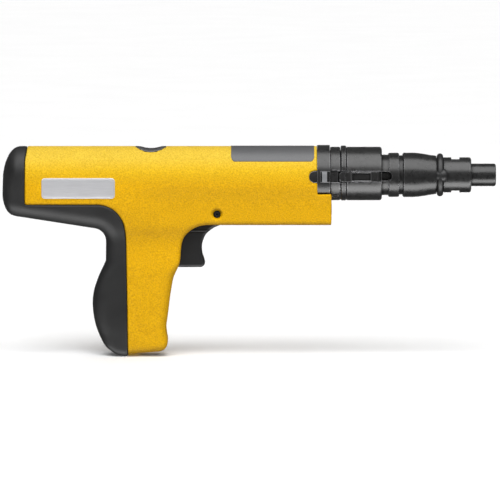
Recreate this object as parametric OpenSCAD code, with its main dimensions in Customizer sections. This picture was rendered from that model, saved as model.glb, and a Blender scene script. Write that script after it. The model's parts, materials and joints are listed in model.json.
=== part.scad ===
// Powder-actuated fastening tool with a strip feed in the handle.
// X runs along the barrel axis towards the muzzle and Z is up.
// The origin is the centre of the muzzle face. All sizes are in millimetres.

/* [Housing] */
// distance from the muzzle face to the rear end of the soft cover
overall_length = 340; // [330:1:350]
// radius of the round top of the housing
arch_r = 19.9; // [19:0.1:21]
// half width of the rear walls, where the badges sit
wall_half = 19.6; // [18.5:0.1:20]
// half width of the lower front walls
front_half = 17.2; // [16.5:0.1:18]
// half width of the handle at the palm
palm_half = 16.5; // [15.5:0.1:18]
// underside of the housing in front of the trigger
belly_z = -33.6; // [-35:0.1:-33]
// thickness of the soft cover over the hard core
skin = 3.5; // [2.5:0.1:3.5]
// radius of the hole over the chamber
top_hole_r = 10.6; // [8:0.1:12]

/* [Receiver] */
// outer radius of the receiver tube
receiver_r = 17; // [16.5:0.1:17]
// how far the receiver slides back when the muzzle is pressed
press_travel = 7; // [5:0.5:7]
// radius of the front band and sleeve
sleeve_r = 18.4; // [18:0.1:18.5]
// how far the front band and sleeve sit above the barrel axis
sleeve_lift = 0.93; // [0.8:0.01:1.1]

/* [Barrel] */
// outer radius of the barrel
barrel_r = 13.95; // [13.9:0.01:13.97]
// radius of the bore that the piston head runs in
piston_bore_r = 8.1; // [8.05:0.01:8.3]
// radius of the muzzle tube
muzzle_r = 7.75; // [7.5:0.05:8]
// radius of the hole that the fastener leaves by
fastener_bore_r = 4; // [4:0.01:4.05]
// radius of the piston's drive rod
drive_rod_r = 3.9; // [3.8:0.01:3.9]

/* [Trigger group] */
// half width of the trigger
trigger_half = 7; // [6:0.1:7]
// travel of the trigger bar and the sear
sear_travel = 1.4; // [1:0.1:1.4]

/* [Hidden] */
$fn = 64;
body_gap = 0.4;            // space round a moving piece
chamber_x = -237.5;        // middle of the chamber, the handle channel and the top hole
feed_len = 12.5;           // the strip channel along X
feed_wide = 9.6;           // and along Y
guide_len = 16.5;          // the outside of the strip guide along X
guide_wide = 15;           // and along Y
tunnel_r = receiver_r + 0.2;
tunnel_end_x = -324;
mouth_x = -123;            // front face of the upper housing
chin_x = -113.3;           // front face of the lower housing
step_z = -12.2;            // top of the lower housing at the front
core_inner_r = 14.03;      // bore of the receiver
pivot = [-192, -26];       // trigger pin, x and z
pawl_pivot = [-216, -24.5];// advance lever pin
rod_z = -23.5;             // axis of the return spring
sear_x = -261.5;
sear_foot_z = -40;
receiver_end_x = -308.7;
bar_top = -30.2;
bar_bottom = -33.2;
bar_nose_half = 4.6;       // half width of the bar between the trigger's cheeks
latch_pivot = [-80.9, -16.4]; // stop latch pin, x and y
latch_half = 3.5;          // half height of the stop latch
steel = [0.23, 0.23, 0.24];
dark_steel = [0.16, 0.16, 0.17];
bright = [0.72, 0.73, 0.75];
yellow = [0.93, 0.71, 0.13];
soft_black = [0.13, 0.13, 0.135];
label_grey = [0.33, 0.34, 0.36];

// ---------------------------------------------------------------- helpers

function arc(cx, cy, r, from, to, steps) =
    [for (i = [0:steps]) let (a = from + (to - from) * i / steps) [cx + r * cos(a), cy + r * sin(a)]];

function mirrored(points) =
    concat(points, [for (i = [len(points) - 1:-1:0]) [-points[i][0], points[i][1]]]);

// a plan half outline closed with its image across the barrel axis
function both_sides(points) =
    concat(points, [for (i = [len(points) - 1:-1:0]) [points[i][0], -points[i][1]]]);

// a solid turned round the barrel axis from a list of [x, radius]
module turned(profile) {
    rotate([0, 90, 0])
        rotate_extrude()
            polygon([for (p = profile) [p[1], p[0]]]);
}

module rod_x(x0, x1, r) {
    translate([x0, 0, 0])
        rotate([0, 90, 0])
            cylinder(h = x1 - x0, r = r);
}

module rod_y(x, z, r, half) {
    translate([x, half, z])
        rotate([90, 0, 0])
            cylinder(h = 2 * half, r = r);
}

// an outline in x and z, given thickness across the tool
module side_plate(outline, half) {
    rotate([90, 0, 0])
        linear_extrude(2 * half, center = true)
            polygon(outline);
}

// a section in y and z, run along the barrel axis
module section_bar(x0, x1) {
    translate([x0, 0, 0])
        rotate([90, 0, 90])
            linear_extrude(x1 - x0)
                children();
}

// an outline in x and y, given height
module plan_plate(outline, z0, z1) {
    translate([0, 0, z0])
        linear_extrude(z1 - z0)
            polygon(outline);
}

module block(x0, x1, half, z0, z1) {
    translate([x0, -half, z0])
        cube([x1 - x0, 2 * half, z1 - z0]);
}

// round wire wound about Z
module coil(mean_r, wire_r, length, turns, steps = 14, sides = 6) {
    n = ceil(turns * steps);
    rise = (length - 2 * wire_r) / n;
    points = [for (i = [0:n], j = [0:sides - 1])
        let (a = 360 * i / steps, b = 360 * j / sides, r = mean_r + wire_r * cos(b))
        [r * cos(a), r * sin(a), wire_r + rise * i + wire_r * sin(b)]];
    walls = [for (i = [0:n - 1], j = [0:sides - 1])
        let (k = (j + 1) % sides)
        [i * sides + j, (i + 1) * sides + j, (i + 1) * sides + k, i * sides + k]];
    first_cap = [[for (j = [0:sides - 1]) j]];
    last_cap = [[for (j = [sides - 1:-1:0]) n * sides + j]];
    polyhedron(points, concat(first_cap, walls, last_cap));
}

// ---------------------------------------------------------------- outer form

rear_end = [
    [-327.5, arch_r], [-330.4, 19.2], [-332.8, 17.3], [-334.8, 14.9], [-336.9, 11], [-338.3, 6.6],
    [-339.5, 0.6], [-overall_length, -5.6], [-overall_length, -9.7], [-339.6, -14], [-338.5, -19.8],
    [-337.1, -23.4], [-335.1, -26.1], [-331.7, -27.7]
];
neck = arc(-277.5, -45.2, 9, 81, 0, 6);
palm = [
    [-268.6, -57], [-270.1, -62.4], [-272.8, -67.9], [-275, -73.4], [-276.9, -79.5], [-277.8, -87.2],
    [-277.2, -95.5], [-275.5, -103.8], [-272.2, -112], [-268.9, -117.3], [-265.8, -120.2],
    [-261.5, -123], [-255.5, -124.2], [-253.4, -124.2]
];
handle_front = [
    [-252.4, -122.7], [-231.5, -121.1], [-229.2, -120.2], [-227, -118], [-226, -115],
    [-226.8, -109], [-227.2, -106], [-225.8, -95.2], [-224.4, -84.1], [-223.1, -75.9],
    [-222, -70.3], [-219.8, -65], [-218.2, -61.9]
];
trigger_arch = [
    [-217.3, -58], [-216.9, -52], [-216.3, -46], [-214.8, -42.4], [-212.6, -39.6],
    [-210, -37.3], [-207.2, -35.6], [-203.6, -34.3], [-200, belly_z]
];
side_outline = concat(
    [[mouth_x, arch_r]], rear_end, neck, palm, handle_front, trigger_arch,
    [[chin_x - 0.8, belly_z], [chin_x, belly_z + 0.8], [chin_x, step_z], [mouth_x, step_z]]
);
// the hard core that the soft cover is moulded over
core_outline = [
    [-240, arch_r - skin], [-328.5, arch_r - skin], [-332, 13.4], [-334.6, 8], [-336.2, 0], [-336.4, -8],
    [-336, -14], [-334.8, -19.6], [-332.6, -23.2], [-330.5, -24.2], [-277, -32.6], [-270.5, -35],
    [-266.4, -39.6], [-265.1, -45.2], [-265, -56], [-267, -64], [-270, -71], [-273, -79], [-274.2, -87.2],
    [-273.6, -95], [-271.8, -103], [-268.4, -110.5], [-264.5, -116], [-258.5, -120], [-240, -120]
];
// the region behind the line where the yellow shell meets the soft cover
soft_region = concat(
    [[-350, 30], [-322.3, 30], [-322.5, 19], [-323.8, 12]],
    arc(-320.8, -16.5, 3, 180, 270, 4),
    arc(-269.5, -34.7, 15.2, 90, 0, 8),
    [[-254.2, -50], [-253.4, -100], [-253.4, -130], [-350, -130]]
);

// half sections as [y, z]; d shrinks them for the core
function rear_half(d) = [
    [wall_half - d, 0], [wall_half - d, -19.5], [18.7 - d, -23.5], [16.9 - d, -27.6],
    [14 - d, -31.5], [10.5 - d, -35], [8 - d, -40]
];
function front_half_section() = [
    [wall_half, 0], [19.4, -7.5], [front_half, -13.5], [front_half, -30.6], [16.3, -32.8], [14.2, -34]
];
function handle_half(d) = [
    [front_half - d, -20], [front_half - d, -33], [16.4 - d, -37], [15.1 - d, -43], [15 - d, -50],
    [16.1 - d, -58], [palm_half - d, -64], [palm_half - d, -112], [15.2 - d, -119], [11 - d, -125]
];

module arch_section(half_points, d) {
    circle(r = arch_r - d);
    polygon(mirrored(half_points));
}

// rear of the body, tapering in plan to the narrower front
module rear_body(outline, d) {
    end_r = 14 - d;
    rear_x = -overall_length + d;
    plan = concat(
        arc(rear_x + end_r, wall_half - d + 0.3 - end_r, end_r, 180, 90, 8),
        [[-250, wall_half + 0.3 - d], [-226, front_half - d]]
    );
    intersection() {
        side_plate(outline, 25);
        section_bar(-345, -200)
            arch_section(rear_half(d), d);
        union() {
            plan_plate(both_sides(plan), -60, 30);
            block(-322, -200, 25, -7.5, 30);
        }
    }
}

module front_body() {
    intersection() {
        side_plate(side_outline, 25);
        section_bar(-254, -100)
            arch_section(front_half_section(), 0);
    }
}

// the handle leans back, so its rounded plan runs along a leaning line
module handle_body(outline, d) {
    half = palm_half + 1;
    lean = 10;
    front_x = -214.5;
    rear_x = -271;
    plan = concat(
        arc(front_x - 8, half - 8 - d, 8, 0, 90, 6),
        arc(rear_x + d + 11, half - 11 - d, 11, 90, 180, 6)
    );
    intersection() {
        side_plate(outline, 25);
        section_bar(-290, -200)
            polygon(mirrored(handle_half(d)));
        translate([front_x, 0, -40])
            rotate([0, lean, 0])
                translate([-front_x, 0, 0])
                    plan_plate(both_sides(plan), -100, 30);
    }
}

// fillet between the belly and the front of the handle
module arch_body() {
    intersection() {
        side_plate(side_outline, 25);
        section_bar(-226, -200)
            polygon(mirrored(handle_half(0)));
        block(-226, -200, 25, -46, -30);
    }
}

module outer_form() {
    rear_body(side_outline, 0);
    front_body();
    handle_body(side_outline, 0);
    arch_body();
}

module core_form() {
    rear_body(core_outline, skin);
    handle_body(core_outline, skin);
}

// ---------------------------------------------------------------- housing group

module trigger_room() {
    side_plate([
        [-185.4, -19.4], [-202.2, -19.4], [-202.2, -28.4], [-208, -29.4], [-229.3, bar_bottom - 0.3],
        [-229.3, -64.2], [-205, -66], [-184, -50], [-184, -36], [-185.4, -34]
    ], trigger_half + body_gap);
}

module bar_room() {
    block(-269.2, -199.7, 6.4, bar_bottom - 0.3, bar_top + 0.3);
    block(-252.2, -224.4, 10.4, bar_bottom - 0.3, bar_top + 0.3);
}

module sear_room() {
    block(sear_x - 2.4, -255.3, 3.4, sear_foot_z - sear_travel - body_gap, -15);
    translate([sear_x, 0, -52.2])
        cylinder(h = 12, r = 2.7);
}

module spring_room() {
    translate([0, 0, rod_z])
        rod_x(-183, -110, 6.5);
    block(-131.7, -110, 4.4, rod_z, -15);
}

module housing() {
    color(yellow)
        difference() {
            union() {
                difference() {
                    outer_form();
                    side_plate(soft_region, 30);
                }
                intersection() {
                    core_form();
                    side_plate(soft_region, 30);
                }
            }
            rod_x(tunnel_end_x, mouth_x + 1, tunnel_r);
            translate([0, 0, sleeve_lift])
                rod_x(mouth_x - 0.3, -110, sleeve_r + 0.4);
            translate([chamber_x, 0, 10])
                cylinder(h = 20, r = top_hole_r);
            block(chamber_x - guide_len / 2, chamber_x + guide_len / 2, guide_wide / 2, -130, -15);
            trigger_room();
            bar_room();
            sear_room();
            spring_room();
            block(-229.4, -208.8, 3.4, bar_top, -15);
            rod_y(pivot[0], pivot[1], 2.5, 25);
            for (side = [-1, 1])
                translate([pivot[0], side * (front_half + 2), pivot[1]])
                    rotate([90, 0, 0])
                        cylinder(h = 7, r = 3.6, center = true);
            rod_y(pawl_pivot[0], pawl_pivot[1], 1.5, 9);
            for (side = [-1, 1])
                translate([0, side * 20, 0])
                    tab_plate(4.1, 5);
        }
}

// the round tab of the collar, which lies in a notch of the housing
module tab_plate(r, half) {
    rod_y(-124.7, 0, r, half);
    block(-124.7, mouth_x + 1, half, -r, r);
}

module grip_cover() {
    color(soft_black)
        difference() {
            intersection() {
                outer_form();
                side_plate(soft_region, 30);
            }
            core_form();
        }
}

module front_collar() {
    color(steel)
        difference() {
            union() {
                rod_x(mouth_x, -114.4, 20.6);
                intersection() {
                    rod_x(-130, mouth_x + 1, 20.2);
                    for (side = [-1, 1])
                        translate([0, side * 20, 0])
                            tab_plate(4, 3);
                }
            }
            translate([0, 0, sleeve_lift])
                rod_x(mouth_x - 0.2, -110, sleeve_r + 0.4);
            rod_x(-131, mouth_x, 17.6);
            block(-135, -110, 25, -30, step_z);
            for (side = [-1, 1])
                translate([-117.6, side * 20.6, 0])
                    cube([6.6, 3, 7.4], center = true);
        }
}

module collar_keys() {
    color(bright)
        for (side = [-1, 1])
            intersection() {
                rod_x(-119.9, -116.4, 20.5);
                translate([-118.15, side * 20.1, 0])
                    cube([3.5, 2, 7.2], center = true);
            }
}

module rear_plug() {
    color(dark_steel)
        turned([[tunnel_end_x, 0], [tunnel_end_x, 15], [-322, tunnel_r], [-319, tunnel_r], [-319, 0]]);
}

module rear_buffer() {
    face_x = receiver_end_x - press_travel - 0.3;
    color(soft_black)
        turned([[-319, 5], [-319, 14], [face_x - 1, 14.6], [face_x, 14], [face_x, 5]]);
}

module guide_rod() {
    color(bright)
        translate([0, 0, rod_z])
            difference() {
                turned([
                    [-183, 0], [-183, 2.5], [-115.6, 2.5], [-115.6, 4.5],
                    [-113.6, 4.5], [-113, 3.9], [-113, 0]
                ]);
                translate([-113.4, 0, 0])
                    cube([1.6, 6, 1], center = true);
            }
}

module return_spring() {
    color(bright)
        translate([-182.6, 0, rod_z])
            rotate([0, 90, 0])
                coil(4.6, 0.8, 58.3, 14);
}

module strip_guide() {
    color(dark_steel)
        difference() {
            block(chamber_x - guide_len / 2, chamber_x + guide_len / 2, guide_wide / 2, -120.6, -17.6);
            block(chamber_x - feed_len / 2, chamber_x + feed_len / 2, feed_wide / 2, -125, -10);
            block(chamber_x, chamber_x + guide_len, 2.6, -29, -17);
        }
}

module trigger_pin() {
    color(dark_steel)
        for (side = [0, 1])
            mirror([0, side, 0])
                translate([pivot[0], 0, pivot[1]])
                    rotate([90, 0, 0])
                        rotate_extrude()
                            polygon([
                                [0, 0], [2.5, 0], [2.5, 15.8], [2, 16.4], [1.1, 16.4], [0.8, 15.6], [0, 15.6]
                            ]);
}

module trigger_spring() {
    color(bright)
        translate([pivot[0], 4.2, pivot[1]])
            rotate([-90, 0, 0])
                coil(4, 0.45, 2.9, 1.75, 20);
}

module sear_spring() {
    color(bright)
        translate([sear_x, 0, -52.2])
            coil(1.75, 0.4, 12.1, 7);
}

module advance_lever_pin() {
    color(bright)
        rod_y(pawl_pivot[0], pawl_pivot[1], 1.5, 9);
}

module advance_spring() {
    color(bright)
        translate([pawl_pivot[0], 1.9, pawl_pivot[1]])
            rotate([-90, 0, 0])
                coil(2.2, 0.3, 1.3, 0.9, 18);
}

module badge() {
    r = 2.4;
    color(bright)
        difference() {
            for (side = [-1, 1])
                translate([0, side * (wall_half + 0.4), 0])
                    rotate([90, 0, 0])
                        linear_extrude(0.8, center = true)
                            polygon(concat(
                                arc(-312.4 + r, -0.8 - r, r, 180, 90, 5),
                                arc(-262 - r, -0.8 - r, r, 90, 0, 5),
                                arc(-262 - r, -15 + r, r, 0, -90, 5),
                                arc(-312.4 + r, -15 + r, r, 270, 180, 5)
                            ));
            rod_x(-320, -250, arch_r);
        }
}

module info_label() {
    half = 17;
    r = 2.5;
    color(label_grey)
        intersection() {
            difference() {
                rod_x(-185, -124, arch_r + 0.25);
                rod_x(-186, -123.5, arch_r);
            }
            plan_plate(concat(
                arc(-182.3 + r, half - r, r, 180, 90, 5),
                arc(-125.2 - r, half - r, r, 90, 0, 5),
                arc(-125.2 - r, -half + r, r, 0, -90, 5),
                arc(-182.3 + r, -half + r, r, 270, 180, 5)
            ), 5, 30);
        }
}

// steel lining of the hole over the chamber, where the strip leaves
module port_ring() {
    bore_r = 8.2;
    color(bright)
        difference() {
            intersection() {
                translate([chamber_x, 0, 10])
                    cylinder(h = 12, r = top_hole_r);
                rod_x(-260, -220, arch_r);
            }
            rod_x(-261, -219, tunnel_r + 0.2);
            translate([chamber_x, 0, 5])
                cylinder(h = 20, r = bore_r);
        }
}

// ---------------------------------------------------------------- receiver group

module receiver() {
    band_front = -107.2;
    sleeve_back = -102.8;
    sleeve_front = -78.6;
    color(steel)
        difference() {
            union() {
                rod_x(receiver_end_x, sleeve_front - 1, receiver_r);
                translate([0, 0, sleeve_lift]) {
                    turned([
                        [-114, 0], [-114, sleeve_r - 0.3], [-113.7, sleeve_r], [band_front - 0.5, sleeve_r],
                        [band_front, sleeve_r - 0.5], [band_front, 0]
                    ]);
                    turned([
                        [sleeve_back, 0], [sleeve_back, sleeve_r - 0.3], [sleeve_back + 0.3, sleeve_r],
                        [sleeve_front - 1.2, sleeve_r], [sleeve_front - 0.4, sleeve_r - 0.4],
                        [sleeve_front, sleeve_r - 1.2], [sleeve_front, 0]
                    ]);
                }
                block(-124, -114.2, 4, rod_z, -12);
                translate([0, 0, rod_z])
                    rod_x(-124, -116.3, 6.1);
            }
            rod_x(-320, -60, core_inner_r);
            translate([0, 0, rod_z])
                rod_x(-130, -110, 2.7);
            translate([0, 0, rod_z])
                rod_x(-116.3, -100, 5.4);
            block(-244, -230.5, 10.5, -25, 25);
            block(sear_x - 2.6, -252.2, 3.5, -25, 0);
            rod_y(-247.6, 0, 1.5, 20);
            latch_slot();
            translate([latch_pivot[0], latch_pivot[1], -5])
                cylinder(h = 10, r = 0.8);
            for (side = [-1, 1])
                translate([-113, side * 20, 0.3])
                    cube([12.4, 6, 8.6], center = true);
            rotate([50, 0, 0])
                translate([-110.6, -20, 0])
                    rotate([90, 0, 0])
                        cylinder(h = 9, r = 2.2, center = true);
        }
}

module latch_slot() {
    translate([-109, -25, -latch_half - body_gap])
        cube([29.8, 15, 2 * (latch_half + body_gap)]);
}

module annular_spring() {
    color(dark_steel)
        difference() {
            translate([0, 0, 1.3])
                turned([
                    [-106.8, 0], [-106.8, 18.3], [-106.2, 18.9], [-103.6, 18.9], [-103, 18.3], [-103, 0]
                ]);
            rod_x(-110, -100, receiver_r);
            translate([-110, -25, -4.2])
                cube([10, 15, 8.4]);
        }
}

module lug_screw() {
    color(dark_steel)
        rotate([50, 0, 0])
            translate([-110.6, 0, 0])
                rotate([90, 0, 0])
                    difference() {
                        translate([0, 0, 15.6])
                            cylinder(h = 1.7, r = 2.2);
                        translate([0, 0, 17.1])
                            cube([6, 0.8, 0.8], center = true);
                    }
}

module breech_block() {
    color(bright)
        difference() {
            turned([
                [-251.5, 1.6], [-251.5, 13.2], [-250.8, core_inner_r], [-244.6, core_inner_r],
                [-244, 13.4], [-244, 1.6]
            ]);
            for (side = [-1, 1])
                translate([-247.6, side * 10, 0])
                    rotate([90, 0, 0])
                        cylinder(h = 12, r = 1.5, center = true);
        }
}

module breech_pin() {
    color(dark_steel)
        for (side = [-1, 1])
            translate([-247.6, side * 10.2, 0])
                rotate([90, 0, 0])
                    cylinder(h = 12.4, r = 1.5, center = true);
}

module receiver_plug() {
    color(dark_steel)
        turned([
            [-308.4, 3.3], [-308.4, 13.4], [-307.8, core_inner_r], [-300, core_inner_r], [-300, 3.3]
        ]);
}

module firing_pin_spring() {
    color(bright)
        translate([-299.9, 0, 0])
            rotate([0, 90, 0])
                coil(4.7, 0.7, 37.8, 9);
}

// seen from above the latch is a bar with a thumb ridge; its nib reaches into the barrel's slot
module stop_latch() {
    nib_half = 2.9;
    color(steel)
        difference() {
            union() {
                intersection() {
                    translate([0, 0, -latch_half])
                        linear_extrude(2 * latch_half)
                            polygon([
                                [-108.5, -14.3], [-108.5, -16.9], [-107.8, -17.9], [-104.7, -18.2],
                                [-104.2, -19.1], [-100.3, -19.1], [-99.9, -18.3], [-81.6, -18.3],
                                [-79.6, -17.2], [-79.6, -15], [-80.4, -14.3]
                            ]);
                    rod_x(-110, -75, 19.3);
                    side_plate(concat(
                        arc(-108.5 + latch_half, 0, latch_half, 90, 270, 12),
                        [[-75, -latch_half], [-75, latch_half]]
                    ), 25);
                }
                translate([-102.8, -15, -nib_half])
                    cube([3.2, 5.3, 2 * nib_half]);
            }
            translate([-99.4, -20, -2.9])
                cube([13.1, 3.4, 5.6]);
            translate([latch_pivot[0], latch_pivot[1], -5])
                cylinder(h = 10, r = 0.85);
        }
}

module latch_pin() {
    color(bright)
        translate([latch_pivot[0], latch_pivot[1], -5])
            cylinder(h = 10, r = 0.8);
}

module firing_pin() {
    color(bright)
        turned([
            [-301, 0], [-301, 2.5], [-300.5, 3], [-262, 3], [-262, 6.1], [-261.6, 6.5], [-258.4, 6.5],
            [-258, 6.1], [-258, 3.5], [-254.2, 3.5], [-253.2, 1.4], [-244.6, 1.4], [-244.6, 0]
        ]);
}

// ---------------------------------------------------------------- trigger group

trigger_outline = concat(
    arc(pivot[0], pivot[1], 6, 10, 165, 10),
    [
        [-199.2, -27], [-201, -32.6], [-204, -33], [-208, -34.5], [-212, -37.2], [-214.6, -40],
        [-218, -41], [-219.6, -42.5], [-220.4, -50]
    ],
    arc(-218.8, -61.8, 1.6, 180, 270, 4),
    arc(-203.6, -60, 3.3, -90, 15, 6),
    [
        [-201.2, -57.4], [-202.2, -54.2], [-202.6, -50], [-202.2, -46.6], [-200.6, -42],
        [-198.6, -39.4], [-196, -37.3], [-192.8, -35.4], [-188.9, -33.9], [-186.9, -30.5]
    ]
);
// above this line only two cheeks are left of the trigger, one on each side of the trigger bar
cheek_line = [[-199.2, -36.1], [-206, -37.9], [-218, -40.7], [-225, -42]];

module trigger() {
    cheek_inner = bar_nose_half + body_gap;
    color(soft_black)
        difference() {
            side_plate(trigger_outline, trigger_half);
            rod_y(pivot[0], pivot[1], 2.55, 20);
            translate([pivot[0], 5.5, pivot[1]])
                rotate([90, 0, 0])
                    cylinder(h = 3.6, r = 5.1, center = true);
            side_plate(concat([[-225, -20], [-199.2, -20]], cheek_line), cheek_inner);
        }
}

module trigger_bar() {
    front_edge = -257.8;
    color(dark_steel)
        difference() {
            union() {
                block(-267.4, -224.8, 6, bar_bottom, bar_top);
                block(-250.4, -224.8, 10, bar_bottom, bar_top);
                block(-226, -200.1, bar_nose_half, bar_bottom, bar_top);
            }
            block(chamber_x - guide_len / 2 - 2.2, chamber_x + guide_len / 2 + 2.3, 8, -40, -20);
            side_plate([
                [-265.4, bar_top + 1], [front_edge, bar_top + 1], [front_edge, bar_top],
                [front_edge + 3, bar_bottom], [front_edge + 3, bar_bottom - 1], [-265.4, bar_bottom - 1]
            ], 3.5);
        }
}

// plunger with a sloping shoulder that the trigger bar pushes down
module sear() {
    nose_z = -6.85;
    color(bright)
        side_plate([
            [sear_x - 2, sear_foot_z], [sear_x - 2, nose_z - 0.8], [sear_x - 1.2, nose_z],
            [sear_x + 1.2, nose_z], [sear_x + 2, nose_z - 0.8], [sear_x + 2, -29.05],
            [-255.9, -32.65], [-255.9, -36.4], [sear_x + 2, -36.4], [sear_x + 2, sear_foot_z]
        ], 3);
}

module advance_lever() {
    color(bright)
        difference() {
            side_plate(concat(
                arc(pawl_pivot[0], pawl_pivot[1], 3.4, -80, 80, 6),
                [[-219, -21.6], [-230.2, -22.6], [-231.3, -23.6], [-230.8, -25.4], [-219, -27.6]]
            ), 1.6);
            rod_y(pawl_pivot[0], pawl_pivot[1], 1.55, 20);
        }
}

// ---------------------------------------------------------------- barrel group

module barrel() {
    bore_end_x = -98;
    color(dark_steel)
        difference() {
            turned([
                [-231.5, 0], [-231.5, 13], [-230.6, barrel_r], [-74, barrel_r], [-74, 14.6], [-73.4, 15.2],
                [-67.2, 15.2], [-66.6, 14.6], [-66.6, 13.5], [-64.3, 13.5], [-64.3, 9], [-44.4, 9],
                [-44, 8.6], [-44, 0]
            ]);
            rod_x(-240, -228, 3.5);
            rod_x(-228, bore_end_x, piston_bore_r);
            rod_x(bore_end_x - 1, -52, drive_rod_r + 0.35);
            rod_x(-52, -40, 7.25);
            barrel_slot();
        }
}

// slot in the near side only, down to a round floor
module barrel_slot() {
    slot_half = 3.3;
    slot_front_x = -71.6;
    difference() {
        union() {
            translate([-181.5, -20, -slot_half])
                cube([slot_front_x - slot_half + 181.5, 20, 2 * slot_half]);
            translate([slot_front_x - slot_half, 0, 0])
                rotate([90, 0, 0])
                    cylinder(h = 20, r = slot_half);
        }
        rod_x(-190, -60, 9);
    }
}

module buffer_ring() {
    color(bright)
        turned([
            [-101.5, 4.3], [-101.5, 7.6], [-101.1, 8], [-98.4, 8], [-98, 7.6], [-98, 4.3]
        ]);
}

module barrel_nose() {
    color(dark_steel)
        turned([
            [-64.2, 9.05], [-64.2, 14.4], [-63.4, 15.27], [-57, 15.27], [-53.4, 15.05], [-49.6, 14.5],
            [-45.4, 13.75], [-42, 13.35], [-41.3, 13.2], [-41, 12.9], [-41, 10.4], [-30.4, 10.4],
            [-30.4, 7.3], [-44, 7.3], [-44, 9.05]
        ]);
}

module retaining_o_ring() {
    color(soft_black)
        union() {
            translate([-38.4, 0, 0])
                rotate([0, 90, 0])
                    rotate_extrude()
                        translate([12.63, 0])
                            circle(r = 2.2);
            ring_bulge();
        }
}

// the ring bulges outwards where it covers the ball that holds the bushing
module ring_bulge() {
    difference() {
        translate([-37.6, -9.9, 0.3])
            sphere(r = 5.2);
        turned([
            [-50, 0], [-50, 14.6], [-45.4, 13.85], [-42, 13.45], [-41.3, 13.3], [-40.9, 13],
            [-40.9, 12.2], [-25, 12.2], [-25, 0]
        ]);
    }
}

module muzzle_bushing() {
    color(steel)
        difference() {
            turned([
                [-36.2, 10.4], [-36.2, 11.6], [-35.7, 12.1], [-18.4, 12.1], [-17.4, 11.7],
                [-17, 10.8], [-17, 7.3], [-30.4, 7.3], [-30.4, 10.4]
            ]);
            for (side = [-1, 1])
                translate([-27.8, 0, side * 13.2])
                    cube([5.8, 30, 5.6], center = true);
        }
}

module fastener_guide() {
    color(dark_steel)
        turned([
            [-52, fastener_bore_r], [-52, 6.8], [-51.6, 7.2], [-17, 7.2], [-17, muzzle_r],
            [-1, muzzle_r], [-0.3, muzzle_r - 0.35], [0, muzzle_r - 1], [0, fastener_bore_r + 0.3],
            [-0.3, fastener_bore_r]
        ]);
}

module piston() {
    head_r = 7.95;
    head_front = -182;
    groove_r = 7;
    color(bright)
        turned([
            [-220, 0], [-220, 4], [-228, 5.4], [-228, 7.2], [-227.3, head_r],
            [-206, head_r], [-206, groove_r], [-204, groove_r], [-204, head_r],
            [-201, head_r], [-201, groove_r], [-199, groove_r], [-199, head_r],
            [head_front - 1, head_r], [head_front, 7], [head_front, drive_rod_r + 0.8],
            [head_front + 1, drive_rod_r], [-79.4, drive_rod_r], [-79, drive_rod_r - 0.4], [-79, 0]
        ]);
}

module piston_rings() {
    color(dark_steel)
        for (x = [-205.9, -200.9])
            difference() {
                turned([[x, 7.05], [x, 8.03], [x + 1.8, 8.03], [x + 1.8, 7.05]]);
                translate([x + 1, 0, 8])
                    cube([4, 0.8, 3], center = true);
            }
}

housing();
grip_cover();
front_collar();
collar_keys();
rear_plug();
rear_buffer();
guide_rod();
return_spring();
strip_guide();
trigger_pin();
trigger_spring();
sear_spring();
advance_lever_pin();
advance_spring();
badge();
info_label();
port_ring();
receiver();
annular_spring();
lug_screw();
breech_block();
breech_pin();
receiver_plug();
firing_pin_spring();
stop_latch();
latch_pin();
firing_pin();
trigger();
trigger_bar();
sear();
advance_lever();
barrel();
buffer_ring();
barrel_nose();
retaining_o_ring();
muzzle_bushing();
fastener_guide();
piston();
piston_rings();
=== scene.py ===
import json
import math

import bmesh
import bpy
import numpy as np
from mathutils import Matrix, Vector


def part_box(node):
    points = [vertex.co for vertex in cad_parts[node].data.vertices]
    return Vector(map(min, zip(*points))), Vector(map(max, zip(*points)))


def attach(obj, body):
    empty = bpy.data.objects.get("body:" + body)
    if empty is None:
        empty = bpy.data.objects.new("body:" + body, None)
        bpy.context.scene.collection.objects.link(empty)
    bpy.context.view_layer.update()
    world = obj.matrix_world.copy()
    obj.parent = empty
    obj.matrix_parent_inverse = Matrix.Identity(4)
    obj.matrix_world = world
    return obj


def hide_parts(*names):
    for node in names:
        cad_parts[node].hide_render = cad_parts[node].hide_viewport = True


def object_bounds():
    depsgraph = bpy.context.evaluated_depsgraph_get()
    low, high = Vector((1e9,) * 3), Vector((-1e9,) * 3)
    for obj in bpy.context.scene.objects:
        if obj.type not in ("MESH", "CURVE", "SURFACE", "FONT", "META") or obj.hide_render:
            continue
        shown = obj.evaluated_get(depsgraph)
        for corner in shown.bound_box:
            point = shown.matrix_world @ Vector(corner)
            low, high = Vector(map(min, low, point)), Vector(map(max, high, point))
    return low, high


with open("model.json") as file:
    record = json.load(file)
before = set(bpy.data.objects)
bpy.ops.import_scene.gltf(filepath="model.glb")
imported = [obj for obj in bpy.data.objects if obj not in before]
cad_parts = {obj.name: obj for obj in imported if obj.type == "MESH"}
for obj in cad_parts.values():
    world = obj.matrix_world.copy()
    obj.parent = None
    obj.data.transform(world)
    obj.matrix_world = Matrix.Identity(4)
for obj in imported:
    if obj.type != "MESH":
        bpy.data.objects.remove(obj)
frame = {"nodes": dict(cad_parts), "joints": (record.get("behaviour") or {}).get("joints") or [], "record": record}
cad_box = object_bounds()

# The moulded pieces are shaped by fields: functions of x, y and z that are negative inside the piece
# and give roughly the distance to its surface. All of them work in millimetres in the CAD frame,
# with X along the barrel, Z up and the origin at the middle of the muzzle face.
MM = 0.001


# ---------------------------------------------------------------- places taken from the frame

def span(node):
    """Lowest and highest corner of a CAD node in millimetres."""
    low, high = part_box(node)
    return np.array(low) / MM, np.array(high) / MM


def middle(node):
    low, high = span(node)
    return (low + high) / 2


def joint_place(name):
    joint = next(j for j in frame["joints"] if j["name"] == name)
    return np.array(joint["pos_m"]) / MM


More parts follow.
